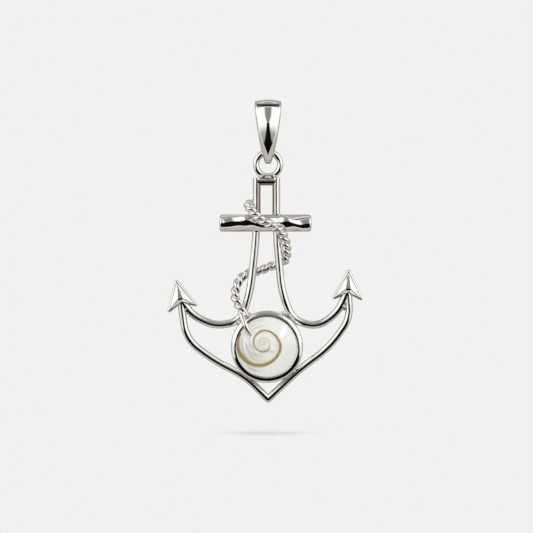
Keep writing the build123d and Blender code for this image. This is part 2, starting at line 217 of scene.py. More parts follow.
slanted = add_node(tree, "Math", [up, DENT_SLANT, from_start], operation="MULTIPLY_ADD")
phase = add_node(tree, "Math", [slanted, 2 * pi / DENT_LENGTH], operation="MULTIPLY")
swell = add_node(tree, "Math", [phase], operation="SINE")
dents = add_node(tree, "Math", [swell, DENT_RISE], operation="MULTIPLY")
turned = add_node(tree, "Math", [right, up], operation="MULTIPLY")
planes = add_node(tree, "Math", [turned, -TWIST], operation="MULTIPLY")
for plane in PLANES:
    along = add_node(tree, "Math", [slanted, plane.right - DENT_START], operation="SUBTRACT")
    away = add_node(tree, "Math", [along], operation="ABSOLUTE")
    near = fade(tree, away, plane.reach, 0.0)
    lean = add_node(tree, "Math", [near, plane.lean], operation="MULTIPLY")
    planes = add_node(tree, "Math", [lean, up, planes], operation="MULTIPLY_ADD")
height = add_node(tree, "Math", [dents, planes], operation="ADD")
hammered = add_node(tree, "Bump", {"Height": height, "Distance": MM, "Normal": wide})
from_axis = add_node(tree, "Math", [up], operation="ABSOLUTE")
on_stock = overlap(tree, fade(tree, from_axis, *STOCK_ROUND), fade(tree, back, *STOCK_FRONT))
relief = add_node(tree, "Mix", [on_stock, fine, hammered], data_type="VECTOR")
print("dents of", DENT_LENGTH, "mm and", len(PLANES), "planes on the stock")

# %% The painted shade on the shanks' inner sides
PAINTED_SHADE_TONE = "#A69F93"
SHADE_SHIFT = 0.30
SHADE_ACROSS = (1.44, 1.19)
SHADE_ABOVE_STOCK = (1.0, 1.6, 6.2, 6.6)
# painted shade: a grey tint on the shanks' inner sides, where they mirror each other above the
# stock
shifted = add_node(tree, "Math", [right, SHADE_SHIFT], operation="ADD")
aside = add_node(tree, "Math", [shifted], operation="ABSOLUTE")
inner_side = fade(tree, aside, *SHADE_ACROSS)
window = fade(tree, up, *SHADE_ABOVE_STOCK)
tone = lay_over(tree, linear(SILVER_WHITE), PAINTED_SHADE_TONE, inner_side, window)
finish_metal(tree, tone, WHEEL_ROUGHNESS, relief)
paint(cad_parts["anchor_frame"], silver)
print("the frame's silver has", len(tree.nodes), "nodes")


# %% [markdown]
# ## The bail's silver
# The bail is a strip of silver sheet, domed, folded over and polished on the wheel like the
# frame. Its front has a crown down the middle, sharp near the foot and softer towards the
# top. A facet runs along each edge, and at the top a brow turns over to the back, with a dark
# line under it. These forms lean the mirror and hardly change the outline, so they are
# heights in the shader. The line is the dark of the room mirrored in a groove too fine for the
# mesh, so it is a painted reflection: a dark tint across the front.

# %% The bail's silver
CROWN_LEAN = 0.22
CROWN_SOFT_FOOT = 1.2
CROWN_SOFT_TOP = 5.0
CROWN_CHANGE = (-2.9, -1.2)
FRONT_LEAN = 0.07
BROW_UP = 0.05
BROW_SOFT = 0.10
BROW_LEAN = 0.35
FACET_FOOT = -7.5
FACET_SPREAD = 0.45
FACET_SOFT = 0.12
FACET_LEAN = 0.52
BAIL_RISE = 0.015 * MM
bail_silver, tree = new_material("silver_of_the_crowned_bail")
place = add_node(tree, "TexCoord").outputs["Object"]
right, back, up = in_mm(tree, place)
left = add_node(tree, "Math", [right, -1.0], operation="MULTIPLY")
from_middle = add_node(tree, "Math", [right], operation="ABSOLUTE")
soft_range = CROWN_SOFT_TOP - CROWN_SOFT_FOOT
softness = [fade(tree, up, *CROWN_CHANGE), soft_range, CROWN_SOFT_FOOT]
soft = add_node(tree, "Math", softness, operation="MULTIPLY_ADD")
crown = add_node(tree, "Math", [right, left, soft], operation="SMOOTH_MAX")
above_brow = add_node(tree, "Math", [up, BROW_UP], operation="SUBTRACT")
brow = add_node(tree, "Math", [above_brow, 0.0, BROW_SOFT], operation="SMOOTH_MAX")
above_foot = add_node(tree, "Math", [up, FACET_FOOT], operation="SUBTRACT")
facet_edge = add_node(tree, "Math", [above_foot, FACET_SPREAD], operation="MULTIPLY")
beyond_edge = add_node(tree, "Math", [from_middle, facet_edge], operation="SUBTRACT")
facet = add_node(tree, "Math", [beyond_edge, 0.0, FACET_SOFT], operation="SMOOTH_MAX")
height = add_node(tree, "Math", [up, -FRONT_LEAN], operation="MULTIPLY")
for form, lean in ((crown, -CROWN_LEAN), (brow, BROW_LEAN), (facet, -FACET_LEAN)):
    height = add_node(tree, "Math", [form, lean, height], operation="MULTIPLY_ADD")
crowned = add_node(tree, "Bump", {"Height": height, "Distance": MM})
relief = waves(tree, place, WAVE_WIDE, BAIL_RISE, below=crowned)
print("facets of the bail meet", -FACET_FOOT, "mm below the chain")

# %% The painted reflection under the brow
DARK_REFLECTION_TONE = "#5E5C58"
LINE_UP = (-0.52, -0.40, -0.04, 0.04)
LINE_ACROSS = (1.80, 1.60)
LINE_FRONT = (-0.2, -0.4)
# painted reflection: the dark of the room, laid as a dark tint under the brow
dark_reflection_masks = (
    fade(tree, up, *LINE_UP),
    fade(tree, from_middle, *LINE_ACROSS),
    fade(tree, back, *LINE_FRONT),
)
tone = lay_over(tree, linear(SILVER_WHITE), DARK_REFLECTION_TONE, *dark_reflection_masks)
finish_metal(tree, tone, WHEEL_ROUGHNESS, relief)
paint(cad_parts["bail"], bail_silver)
print("the bail's silver has", len(tree.nodes), "nodes")


# %% [markdown]
# ## The rope's silver and the solder
# A wheel can't follow the turns of the rope, so it is brightened in a barrel of steel shot,
# which leaves a soft shine with fine low waves. The solder in the corners is only brushed by
# hand. It is duller and a touch warmer than the silver and has small pits from the flame.
# Both are the same metal as before, with another roughness and another noise.

# %% The rope's silver and the solder
ROPE_ROUGHNESS = 0.10
ROPE_RISE = 0.006 * MM
rope_silver, tree = new_material("silver_of_the_twisted_rope")
place = add_node(tree, "TexCoord").outputs["Object"]
relief = waves(tree, place, WAVE_FINE, ROPE_RISE, detail=1.0)
finish_metal(tree, linear(SILVER_WHITE), ROPE_ROUGHNESS, relief)

PIT_LENGTH = 0.30 * MM
PIT_DEPTH = 0.030 * MM
BRUSHED_TONE = "#F3F1EB"
BRUSHED_ROUGHNESS = 0.27
solder, tree = new_material("solder_brushed_by_hand")
place = add_node(tree, "TexCoord").outputs["Object"]
pits = waves(tree, place, PIT_LENGTH, PIT_DEPTH, detail=2.0)
finish_metal(tree, linear(BRUSHED_TONE), BRUSHED_ROUGHNESS, pits)
print("pits in the solder, mm:", PIT_LENGTH / MM)


# %% [markdown]
# ## The shell with its grown spiral
# The cabochon is the lid that a turban snail closes its shell with. Its flat side shows how
# it grew: a brown line that winds outwards from a point off the middle. The line is a table
# of turn and distance, read along the line from its start. Three curves hold it, one for each
# turn, and a point is brown where its own distance from the start meets one of them. A drawn
# curve on the mesh would need thousands of faces to be as fine.

# %% The spiral as a table
SpiralPoint = namedtuple("SpiralPoint", "turn_deg out_mm width_mm")
SPIRAL_START = Vector((-0.78, 0.0, -35.67)) * MM
SPIRAL = (
    SpiralPoint(0, 0.20, 0.10),
    SpiralPoint(180, 0.40, 0.14),
    SpiralPoint(360, 0.70, 0.16),
    SpiralPoint(462, 1.02, 0.17),
    SpiralPoint(514, 1.38, 0.18),
    SpiralPoint(590, 1.36, 0.19),
    SpiralPoint(635, 1.38, 0.21),
    SpiralPoint(677, 1.51, 0.21),
    SpiralPoint(720, 1.76, 0.22),
    SpiralPoint(760, 1.95, 0.24),
    SpiralPoint(793, 2.25, 0.30),
    SpiralPoint(820, 2.67, 0.33),
    SpiralPoint(872, 3.12, 0.38),
    SpiralPoint(915, 3.54, 0.45),
    SpiralPoint(950, 3.76, 0.50),
    SpiralPoint(978, 3.82, 0.48),
    SpiralPoint(995, 3.72, 0.36),
    SpiralPoint(1012, 3.60, 0.24),
)
SPIRAL_REACH = 5.0
SPIRAL_TURNS = ((0, 360), (360, 720), (720, 1080))
# past the line's end its curve jumps to a distance that no point of the shell has
NOWHERE = 1.0
JUMP = 0.01


def fill_curve(node, points):
    """Sets a Float Curve node to run through points of share and value."""
    curve = node.mapping.curves[0]
    for share, value in points[1:-1]:
        curve.points.new(share, value)
    curve.points[0].location = points[0]
    curve.points[-1].location = points[-1]
    node.mapping.update()


def spiral_turn(tree, turn, first, last, column, scale):
    """Curve of one column of the table over one turn, as a share of scale."""
    rows = [row for row in SPIRAL if first <= row.turn_deg <= last]
    points = [((row.turn_deg - first) / 360, getattr(row, column) / scale) for row in rows]
    if points[-1][0] < 1:
        points += [(points[-1][0] + JUMP, NOWHERE), (1.0, NOWHERE)]
    node = add_node(tree, "FloatCurve", {"Value": turn})
    fill_curve(node, points)
    return node


print("the spiral ends", SPIRAL[-1].out_mm, "mm from its start")

# %% The place on the shell, in turns and mm round the spiral's start
# a slow noise, in waves for each mm, shifts the line a little to both sides
WANDER_SCALE = 1.6
WANDER_WIDTH = 0.14
NOISE_MIDDLE = (0.5, 0.5, 0.5)
shell_white, tree = new_material("turban_snail_lid_polished")
place = add_node(tree, "TexCoord").outputs["Object"]
local = add_node(
    tree,
    "Mapping",
    {"Vector": place, "Location": SPIRAL_START, "Scale": (MM, MM, MM)},
    vector_type="TEXTURE",
)
wander = add_node(tree, "TexNoise", {"Vector": local, "Scale": WANDER_SCALE, "Detail": 3.0})
noise_inputs = [wander.outputs["Color"], NOISE_MIDDLE]
shift = add_node(tree, "VectorMath", noise_inputs, operation="SUBTRACT")
wander_inputs = [shift, Vector((1, 1, 1)) * WANDER_WIDTH, local]
wandered = add_node(tree, "VectorMath", wander_inputs, operation="MULTIPLY_ADD")
parts = add_node(tree, "SeparateXYZ", [wandered]).outputs
right, up = parts["X"], parts["Z"]
flat = add_node(tree, "CombineXYZ", [right, up])
out_mm = add_node(tree, "VectorMath", [flat], operation="LENGTH")
angle = add_node(tree, "Math", [right, up], operation="ARCTAN2")
turns = add_node(tree, "Math", [angle, 1 / (2 * pi)], operation="MULTIPLY")
turn = add_node(tree, "Math", [turns, 1.0], operation="FLOORED_MODULO")
print("the line wanders over", WANDER_WIDTH, "mm")

# %% The grown line: firm on its outer side, and a soft stain on its inner side
CORE = 0.2
STAIN_REACH = -2.6
FAINT_START = (0.8, 1.7)
STRENGTH_START = 0.24
STRENGTH_GROWTH = 0.66
line = stain = 0.0
for first, last in SPIRAL_TURNS:
    share = spiral_turn(tree, turn, first, last, "out_mm", SPIRAL_REACH)
    middle = add_node(tree, "Math", [share, SPIRAL_REACH], operation="MULTIPLY")
    width = spiral_turn(tree, turn, first, last, "width_mm", 1.0)
    core = add_node(tree, "Math", [width, CORE], operation="MULTIPLY")
    stain_reach = add_node(tree, "Math", [width, STAIN_REACH], operation="MULTIPLY")
    beyond = add_node(tree, "Math", [out_mm, middle], operation="SUBTRACT")
    away = add_node(tree, "Math", [beyond], operation="ABSOLUTE")
    firm = fade(tree, away, width, core)
    inner = fade(tree, beyond, stain_reach, 0.0, 0.0, width)
    line = add_node(tree, "Math", [line, firm], operation="MAXIMUM")
    stain = add_node(tree, "Math", [stain, inner], operation="MAXIMUM")
strength_inputs = [fade(tree, out_mm, *FAINT_START), STRENGTH_GROWTH, STRENGTH_START]
strength = add_node(tree, "Math", strength_inputs, operation="MULTIPLY_ADD")
print("spiral of", len(SPIRAL), "points in", len(SPIRAL_TURNS), "curves")


# %% [markdown]
# ## The shell's colours and its dome
# A snail's lid grows in layers, so its white is never even: grey arcs run round the spiral on
# its left, soft wisps cross it below the middle, and it is bluish where it is thin. Stretched
# noises draw them, laid over the white one by one, and the brown line comes last. The lid is
# ground to a low dome and polished with wax, which gives it a sharp gloss over its milky
# white. Its mesh has flat faces, and a gloss would show them, so on its front the true
# directions of the dome are worked out and given to the shader.

# %% The shell's colours
SHELL_WHITE = "#F3F2EF"
ARC_SQUEEZE = (0.30, 0.30, 2.4)
ARC_LIMITS = (0.44, 0.63)
ARC_SIDE = (1.2, -1.5)
WISP_SQUEEZE = (0.55, 1.0, 1.2)
WISP_LIMITS = (0.48, 0.70)
WISP_BELOW = (0.6, -1.2)
WISP_ROUND = (3.2, 1.6)
THIN_SIDE = (2.4, 6.0)
WARM_START = (1.3, 0.1)
scaled = []
for length, factor in zip((right, up, out_mm), ARC_SQUEEZE):
    scaled.append(add_node(tree, "Math", [length, factor], operation="MULTIPLY"))
arc_place = add_node(tree, "CombineXYZ", scaled)
arcs = add_node(tree, "TexNoise", {"Vector": arc_place, "Scale": 1.0, "Detail": 3.0})
wisp_place = add_node(tree, "Mapping", {"Vector": local, "Scale": WISP_SQUEEZE})
wisps = add_node(tree, "TexNoise", {"Vector": wisp_place, "Scale": 1.0, "Detail": 4.0})
arc_masks = (fade(tree, arcs, *ARC_LIMITS), fade(tree, right, *ARC_SIDE))
wisp_area = overlap(tree, fade(tree, up, *WISP_BELOW), fade(tree, out_mm, *WISP_ROUND))
wisp_masks = (fade(tree, wisps, *WISP_LIMITS), wisp_area)
lower_right = add_node(tree, "Math", [right, up], operation="SUBTRACT")
Layer = namedtuple("Layer", "name hex_colour cover masks")
layers = (
    Layer("grey arcs", "#C3C3C0", 0.85, arc_masks),
    Layer("grey wisps", "#C4C5C4", 0.8, wisp_masks),
    Layer("bluish thin side", "#E3E6E7", 0.5, [fade(tree, lower_right, *THIN_SIDE)]),
    Layer("warm start", "#DDD2C4", 0.5, [fade(tree, out_mm, *WARM_START)]),
    Layer("stain inside the line", "#CBB98F", 0.42, [stain, strength]),
    Layer("brown line", "#93803F", 1.0, [line, strength]),
)
colour = linear(SHELL_WHITE)
for layer in layers:
    colour = lay_over(tree, colour, layer.hex_colour, *layer.masks, layer.cover)
print("laid over the white:", [layer.name for layer in layers])

# %% The dome
DOME_RADIUS = 19.5 * MM
SHELL_MIDDLE = Vector((-0.17, 0.0, -36.36)) * MM
DOME_HEIGHT = (0.62 * MM, 0.58 * MM)
SHELL_ROUGHNESS = 0.10
front = min(vertex.co.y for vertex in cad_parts["shell"].data.vertices)
centre = SHELL_MIDDLE + Vector((0.0, front + DOME_RADIUS, 0.0))
from_centre = add_node(tree, "VectorMath", [place, centre], operation="SUBTRACT")
dome = add_node(
    tree,
    "VectorTransform",
    [from_centre],
    vector_type="NORMAL",
    convert_from="OBJECT",
    convert_to="WORLD",
)
faceted = add_node(tree, "NewGeometry").outputs["Normal"]
back = add_node(tree, "SeparateXYZ", [place]).outputs["Y"]
on_dome = fade(tree, back, *(front + height for height in DOME_HEIGHT))
smooth = add_node(tree, "Mix", [on_dome, faceted, dome], data_type="VECTOR")
shader_inputs = {"Base Color": colour, "Roughness": SHELL_ROUGHNESS, "Normal": smooth}
polished_shell = add_node(tree, "BsdfPrincipled", shader_inputs)
add_node(tree, "OutputMaterial", [polished_shell])
paint(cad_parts["shell"], shell_white)
print("front of the dome, mm:", round(front / MM, 2))


# %% [markdown]
# ## The rope
# The rope is two round silver wires twisted together. CAD has each wire as a tube of flat
# faces, enough for its weight and for collisions. On a polished wire flat faces would show,
# so a copy of each tube is rounded: its loose triangles are merged and joined to squares,
# a Subdivision Surface rounds them, and a little fattening gives back what rounding took.

# %% The rope
MERGE_REACH = 0.001 * MM
FATTEN = 0.13 * MM


def select_only(piece):
    """Selects one piece and makes it the active one."""
    bpy.ops.object.select_all(action="DESELECT")
    piece.select_set(True)
    bpy.context.view_layer.objects.active = piece


def copy_of(node_name, name):
    """A merged copy of a CAD node, without the marks that name it as that node."""
    select_only(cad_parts[node_name])
    bpy.ops.object.duplicate()
    piece = bpy.context.object
    piece.name = name
    for key in list(piece.keys()):
        if key.startswith("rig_"):
            del piece[key]
    bpy.ops.object.mode_set(mode="EDIT")
    bpy.ops.mesh.select_all(action="SELECT")
    bpy.ops.mesh.remove_doubles(threshold=MERGE_REACH)
    bpy.ops.object.mode_set(mode="OBJECT")
    return piece


def apply_modifier(piece, kind, **settings):
    """Adds a modifier with its settings and applies it."""
    modifier = piece.modifiers.new(kind.lower(), kind)
    for name, value in settings.items():
        setattr(modifier, name, value)
    bpy.ops.object.modifier_apply(modifier=modifier.name)


def round_strand(node_name, name):
    """Makes a round wire that stands for a strand of flat faces."""
    piece = copy_of(node_name, name)
    bpy.ops.object.mode_set(mode="EDIT")
    bpy.ops.mesh.select_all(action="SELECT")
    bpy.ops.mesh.customdata_custom_splitnormals_clear()
    bpy.ops.mesh.tris_convert_to_quads(face_threshold=pi, shape_threshold=pi)
    bpy.ops.object.mode_set(mode="OBJECT")
    apply_modifier(piece, "SUBSURF", levels=2, render_levels=2)
    bpy.ops.object.mode_set(mode="EDIT")
    bpy.ops.mesh.select_all(action="SELECT")
    bpy.ops.transform.shrink_fatten(value=FATTEN)
    bpy.ops.object.mode_set(mode="OBJECT")
    bpy.ops.object.shade_smooth()
    paint(piece, rope_silver)
    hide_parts(node_name)
    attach(piece, "anchor")
    print(name, len(piece.data.polygons), "faces")


round_strand("rope_strand_1", "rope_wire_1")
round_strand("rope_strand_2", "rope_wire_2")


# %% [markdown]
# ## The flukes' faces
# A fluke is a flat arrowhead with a raised face: two large facets fall from a ridge to the
# edges, and two narrow ones to the notch. The ridge isn't a sharp line. The wheel wears it
# into a slim third facet, widest at its shoulders. Sculpting would blur the facets, so the
# face is built from its corners: a disc of four corners is pulled to the arrowhead's outline
# and its face is extruded twice. Each time the new corners go to their own places, first to
# a band along the edges and then to the ridge. An edge joins the ridge's two shoulders.

# %% The flukes' faces
Corner = namedtuple("Corner", "right forward up")
START_RADIUS = 3
START = (
    Corner(0, 0, START_RADIUS),
    Corner(-START_RADIUS, 0, 0),
    Corner(0, 0, -START_RADIUS),
    Corner(START_RADIUS, 0, 0),
)
# upright, with the sharp tip at the origin, in mm
EDGE = (
    Corner(0, 0.24, -0.56),
    Corner(-2.06, 0.24, -4.68),
    Corner(0, 0.24, -3.78),
    Corner(2.06, 0.24, -4.68),
)
BAND = (
    Corner(0, 0.44, -0.92),
    Corner(-1.87, 0.44, -4.52),
    Corner(0, 0.44, -3.84),
    Corner(1.87, 0.44, -4.52),
)
RIDGE = (
    Corner(0, 0.52, -1.16),
    Corner(-0.40, 1.30, -3.20),
    Corner(0, 1.14, -3.86),
    Corner(0.40, 1.30, -3.20),
)
SHOULDERS = (1, 3)


def place_of(corner):
    """Place of a corner in Blender, in metres."""
    return Vector((corner.right, -corner.forward, corner.up)) * MM


def select_parts(piece, kind, numbers):
    """Selects vertices or edges of a piece by their numbers and stays in edit mode."""
    bpy.ops.object.mode_set(mode="EDIT")
    bpy.ops.mesh.select_mode(type=kind)
    bpy.ops.mesh.select_all(action="DESELECT")
    bpy.ops.object.mode_set(mode="OBJECT")
    parts = piece.data.vertices if kind == "VERT" else piece.data.edges
    for number in numbers:
        parts[number].select = True
    bpy.ops.object.mode_set(mode="EDIT")


def nearest(corners, place):
    """Number of the corner next to a place."""
    return min(range(len(corners)), key=lambda number: (place_of(corners[number]) - place).length)


def last_ring(piece):
    """Numbers of the four vertices that were made last."""
    count = len(piece.data.vertices)
    return range(count - len(EDGE), count)


def move_ring(piece, old, new):
    """Moves the last ring of vertices from its old corners to the new ones."""
    for number in last_ring(piece):
        place = piece.data.vertices[number].co.copy()
        select_parts(piece, "VERT", [number])
        bpy.ops.transform.translate(value=place_of(new[nearest(old, place)]) - place)
        bpy.ops.object.mode_set(mode="OBJECT")


def extrude_ring(piece, old, new):
    """Extrudes the face of the last ring in place and moves its corners."""
    select_parts(piece, "VERT", last_ring(piece))
    bpy.ops.mesh.select_mode(type="FACE")
    bpy.ops.mesh.extrude_region_move()
    bpy.ops.object.mode_set(mode="OBJECT")
    move_ring(piece, old, new)


def apply_place(piece):
    """Puts a piece's place and turn into its mesh, so that its object sits at the origin."""
    select_only(piece)
    bpy.ops.object.transform_apply(location=True, rotation=True, scale=True)


bpy.ops.object.select_all(action="DESELECT")
bpy.ops.mesh.primitive_circle_add(
    vertices=len(START),
    radius=START_RADIUS * MM,
    fill_type="NGON",
    rotation=(radians(90), 0, 0),
)
face = bpy.context.object
apply_place(face)
move_ring(face, START, EDGE)
extrude_ring(face, EDGE, BAND)
extrude_ring(face, BAND, RIDGE)
vertices = face.data.vertices
shoulders = [n for n in last_ring(face) if nearest(RIDGE, vertices[n].co) in SHOULDERS]
select_parts(face, "VERT", shoulders)
bpy.ops.mesh.vert_connect()
bpy.ops.object.mode_set(mode="OBJECT")
print("a fluke's face:", len(face.data.polygons), "facets")

# %% [markdown]
# ## The flukes' edges
# The wheel takes a little under a tenth of a millimetre off every edge that it reaches, and
# that thin bright line is what makes a facet look polished. A bevel does this on all edges
# inside the rim. The open back is closed by one flat face, so that the piece is a solid. The
# second face is a copy with its own mesh, and each one is leaned along its arm.

# %% The facets softened, the back closed, and the second face copied
EDGE_SOFT = 0.08 * MM
EDGE_STEPS = 4
SMOOTH_BELOW_DEG = 60
Fluke = namedtuple("Fluke", "name right up lean_deg")
FLUKES = (
    Fluke("fluke_left_face", -13.88, -25.99, -12.8),
    Fluke("fluke_right_face", 12.13, -24.46, 2.3),
)
inner_edges = [edge.index for edge in face.data.edges if min(edge.vertices) >= len(EDGE)]
select_parts(face, "EDGE", inner_edges)
bpy.ops.mesh.bevel(offset=EDGE_SOFT, segments=EDGE_STEPS, affect="EDGES", clamp_overlap=True)
bpy.ops.mesh.select_all(action="DESELECT")
bpy.ops.mesh.select_mode(type="EDGE")
bpy.ops.mesh.select_non_manifold(
    extend=False,
    use_wire=False,
    use_boundary=True,
    use_multi_face=False,
    use_non_contiguous=False,
    use_verts=False,
)
bpy.ops.mesh.edge_face_add()
bpy.ops.mesh.select_all(action="SELECT")
bpy.ops.mesh.normals_make_consistent(inside=False)
bpy.ops.object.mode_set(mode="OBJECT")
bpy.ops.object.shade_smooth_by_angle(angle=radians(SMOOTH_BELOW_DEG))
second_face = face.copy()
second_face.data = face.data.copy()
scene.collection.objects.link(second_face)
for piece, fluke in zip((face, second_face), FLUKES):
    piece.name = fluke.name
    piece.location = Vector((fluke.right, 0.0, fluke.up)) * MM
    piece.rotation_euler = (0.0, radians(fluke.lean_deg), 0.0)
    apply_place(piece)
    paint(piece, silver)
    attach(piece, "anchor")
    print(piece.name, len(piece.data.polygons), "faces")


# %% [markdown]
# ## The bezel's lip
# The setter lays the shell in its cup and rubs the rim down over it with a burnisher, stroke
# by stroke. The rim ends as a rounded lip that leans outwards and isn't quite even. A torus
# would be too regular, so a circle at the lip's inner edge is extruded outwards ring by ring,
# and the last ring is bridged to the first. The rings are shaken by two hundredths of a
# millimetre before Subdivision Surface rounds them, which leaves the marks of the strokes.

# %% The bezel's lip
Ring = namedtuple("Ring", "radius forward")
LIP = (
    Ring(4.48, 1.70),
    Ring(4.50, 1.96),
    Ring(4.62, 2.04),
    Ring(4.85, 2.03),
    Ring(5.12, 1.94),
    Ring(5.35, 1.77),
    Ring(5.46, 1.40),
    Ring(5.30, 1.20),
)
LIP_POINTS = 60
STROKE_SHAKE = 0.022 * MM
bpy.ops.object.select_all(action="DESELECT")
bpy.ops.mesh.primitive_circle_add(
    vertices=LIP_POINTS,
    radius=LIP[0].radius * MM,
    location=SHELL_MIDDLE - Vector((0.0, LIP[0].forward, 0.0)) * MM,
    rotation=(radians(90), 0, 0),
)
lip = bpy.context.object
lip.name = "bezel_lip"
apply_place(lip)
bpy.ops.object.mode_set(mode="EDIT")
bpy.ops.mesh.select_all(action="SELECT")
for inner, outer in zip(LIP, LIP[1:]):
    step = (0, (inner.forward - outer.forward) * MM, 0)
    bpy.ops.mesh.extrude_edges_move(TRANSFORM_OT_translate={"value": step})
    growth = outer.radius / inner.radius
    bpy.ops.transform.resize(value=(growth, 1, growth), center_override=SHELL_MIDDLE)
bpy.ops.mesh.select_all(action="DESELECT")
bpy.ops.mesh.select_mode(type="EDGE")
bpy.ops.mesh.select_non_manifold(extend=False)
bpy.ops.mesh.bridge_edge_loops()
bpy.ops.mesh.select_all(action="SELECT")
bpy.ops.transform.vertex_random(offset=STROKE_SHAKE, seed=5)
bpy.ops.mesh.normals_make_consistent(inside=False)
bpy.ops.object.mode_set(mode="OBJECT")
apply_modifier(lip, "SUBSURF", levels=2, render_levels=2)
bpy.ops.object.shade_smooth()
paint(lip, silver)
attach(lip, "anchor")
print("bezel_lip", len(lip.data.polygons), "faces")


# %% [markdown]
# ## The solder seams
# Where two wires meet, solder has run into the corner and stands there as a small uneven
# bead. The wires of the CAD meet in sharp creases, and a bevel there would round them evenly.
# So every bead is a ball pressed to its length and height and turned along its joint. Its
# points are shaken and then rounded, each bead from its own seed, so that no two are alike.

# %% The solder seams
Seam = namedtuple("Seam", "name right up forward length height depth turn_deg")
SEAMS = (
    Seam("ring_foot_left", -1.05, -10.85, 0.05, 1.1, 0.62, 1.2, -25),
    Seam("ring_foot_middle", 0.0, -10.98, 0.1, 1.3, 0.5, 1.2, 5),
    Seam("ring_foot_right", 1.05, -10.85, 0.05, 1.1, 0.62, 1.2, 25),
    Seam("right_arm_to_bezel", 3.25, -31.80, 0.75, 2.3, 0.62, 1.2, 47),
    Seam("left_arm_to_bezel", -4.40, -32.60, 0.55, 1.0, 0.62, 1.0, -40),
    Seam("left_wire_to_bezel", -2.94, -31.50, 0.75, 0.7, 0.5, 0.8, -20),
    Seam("left_keel_to_bezel", -3.35, -40.62, 0.45, 2.7, 0.60, 1.1, 37),
    Seam("right_keel_to_bezel", 3.30, -40.40, 0.45, 2.2, 0.60, 1.1, -47),
    Seam("left_crotch", -12.30, -30.80, 0.1, 0.55, 1.1, 1.0, 10),
    Seam("right_crotch", 11.35, -30.45, 0.1, 0.55, 1.1, 1.0, -12),
)
BEAD_SHAKE = 0.06 * MM
# half a unit, so that the scale of a ball is its full length, depth and height
BALL_RADIUS = 0.5
for number, seam in enumerate(SEAMS):
    bpy.ops.object.select_all(action="DESELECT")
    bpy.ops.mesh.primitive_ico_sphere_add(
        subdivisions=3,
        radius=BALL_RADIUS,
        location=Vector((seam.right, -seam.forward, seam.up)) * MM,
        rotation=(0, radians(seam.turn_deg), 0),
        scale=Vector((seam.length, seam.depth, seam.height)) * MM,
    )
    bead = bpy.context.object
    bead.name = "solder_" + seam.name
    apply_place(bead)
    bpy.ops.object.mode_set(mode="EDIT")
    bpy.ops.mesh.select_all(action="SELECT")
    bpy.ops.transform.vertex_random(offset=BEAD_SHAKE, uniform=0.3, normal=0.5, seed=number + 1)
    bpy.ops.object.mode_set(mode="OBJECT")
    apply_modifier(bead, "SUBSURF", levels=2, render_levels=2)
    bpy.ops.object.shade_smooth()
    paint(bead, solder)
    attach(bead, "anchor")
print("solder seams:", len(SEAMS))


# %% [markdown]
# ## The light tent
# Polished silver shows only what stands around it. A small pendant is photographed in a tent
# of white cloth. Its walls are white beside the camera, greyer at the sides and paler again
# behind, and the table below is pale. A white card on each side lights the facets of the
# flukes. The roof has a gap with a bright strip behind it. The camera and the hands that hold
# it make one dark place in front, a little below the middle, and that place draws the black
# lines that make silver look like silver. Walls of cloth could be modelled, but painting the
# world by direction is quicker to change and needs no mesh. The camera itself sees only a
# plain backdrop.

# %% The directions of the tent
world = bpy.data.worlds.new("light_tent")
scene.world = world
world.use_nodes = True
tree = world.node_tree
tree.nodes.clear()
direction = add_node(tree, "TexCoord").outputs["Generated"]
sideways, backwards, upwards = add_node(tree, "SeparateXYZ", [direction]).outputs
to_camera = add_node(tree, "Math", [backwards, -1.0], operation="MULTIPLY")
# off_axis is 0 towards the camera, 90 at the sides, roof and table, and 180 behind
camera_angle = add_node(tree, "Math", [to_camera], operation="ARCCOSINE")
off_axis = add_node(tree, "Math", [camera_angle], operation="DEGREES")
# pitch is 0 at the camera, 90 overhead, -90 at the table, and 180 behind
pitch_angle = add_node(tree, "Math", [upwards, to_camera], operation="ARCTAN2")
pitch = add_node(tree, "Math", [pitch_angle], operation="DEGREES")
# aside is 0 in the middle plane and 1 straight to the left and right
aside = add_node(tree, "Math", [sideways], operation="ABSOLUTE")
print("the tent's directions have", len(tree.nodes), "nodes")

# %% The light tent
# a little brighter than white paper, because lamps shine through the cloth
WHITE_CLOTH = (1.12, 1.12, 1.11, 1.0)
CARD_UPWARDS = (0.06, 0.14, 0.76, 0.86)
CARD_ASIDE = (0.60, 0.68)
CARD_OFF_AXIS = (108, 100)
SIDES = (62, 80)
SIDES_GREY = "#C8C5C1"
FAR_SIDES = (96, 116)
FAR_SIDES_GREY = "#ACA8A1"
BACK = (138, 162)
BACK_CLOTH = "#DEDCD7"
TABLE = (-62, -74, -104, -124)
TABLE_CLOTH = "#C4C1BB"
card = overlap(
    tree,
    fade(tree, upwards, *CARD_UPWARDS),
    fade(tree, aside, *CARD_ASIDE),
    fade(tree, off_axis, *CARD_OFF_AXIS),
)
no_card = add_node(tree, "Math", [1.0, card], operation="SUBTRACT")
tent = lay_over(tree, WHITE_CLOTH, SIDES_GREY, fade(tree, off_axis, *SIDES), no_card)
tent = lay_over(tree, tent, FAR_SIDES_GREY, fade(tree, off_axis, *FAR_SIDES), no_card)
tent = lay_over(tree, tent, BACK_CLOTH, fade(tree, off_axis, *BACK))
tent = lay_over(tree, tent, TABLE_CLOTH, fade(tree, pitch, *TABLE))
Patch = namedtuple("Patch", "name pitch aside hex_colour")
PATCHES = (
    Patch("grey above the camera", (3, 7, 54, 64), (0.37, 0.20), "#8E8E8D"),
    Patch("gap in the roof", (62, 68, 76, 82), (0.60, 0.40), "#4E4D4A"),
    Patch("strip behind the gap", (82, 88, 100, 108), (0.60, 0.40), "#E4E2DE"),
    Patch("shade beside the hands", (-30, -16, -6, 4), (0.30, 0.42, 0.62, 0.80), "#A9A8A5"),
    Patch("dark foot of the back", (-130, -136, -146, -152), (0.7, 0.5), "#33312E"),
)
for patch in PATCHES:
    masks = (fade(tree, pitch, *patch.pitch), fade(tree, aside, *patch.aside))
    tent = lay_over(tree, tent, patch.hex_colour, *masks)
print("patches on the tent:", [patch.name for patch in PATCHES])

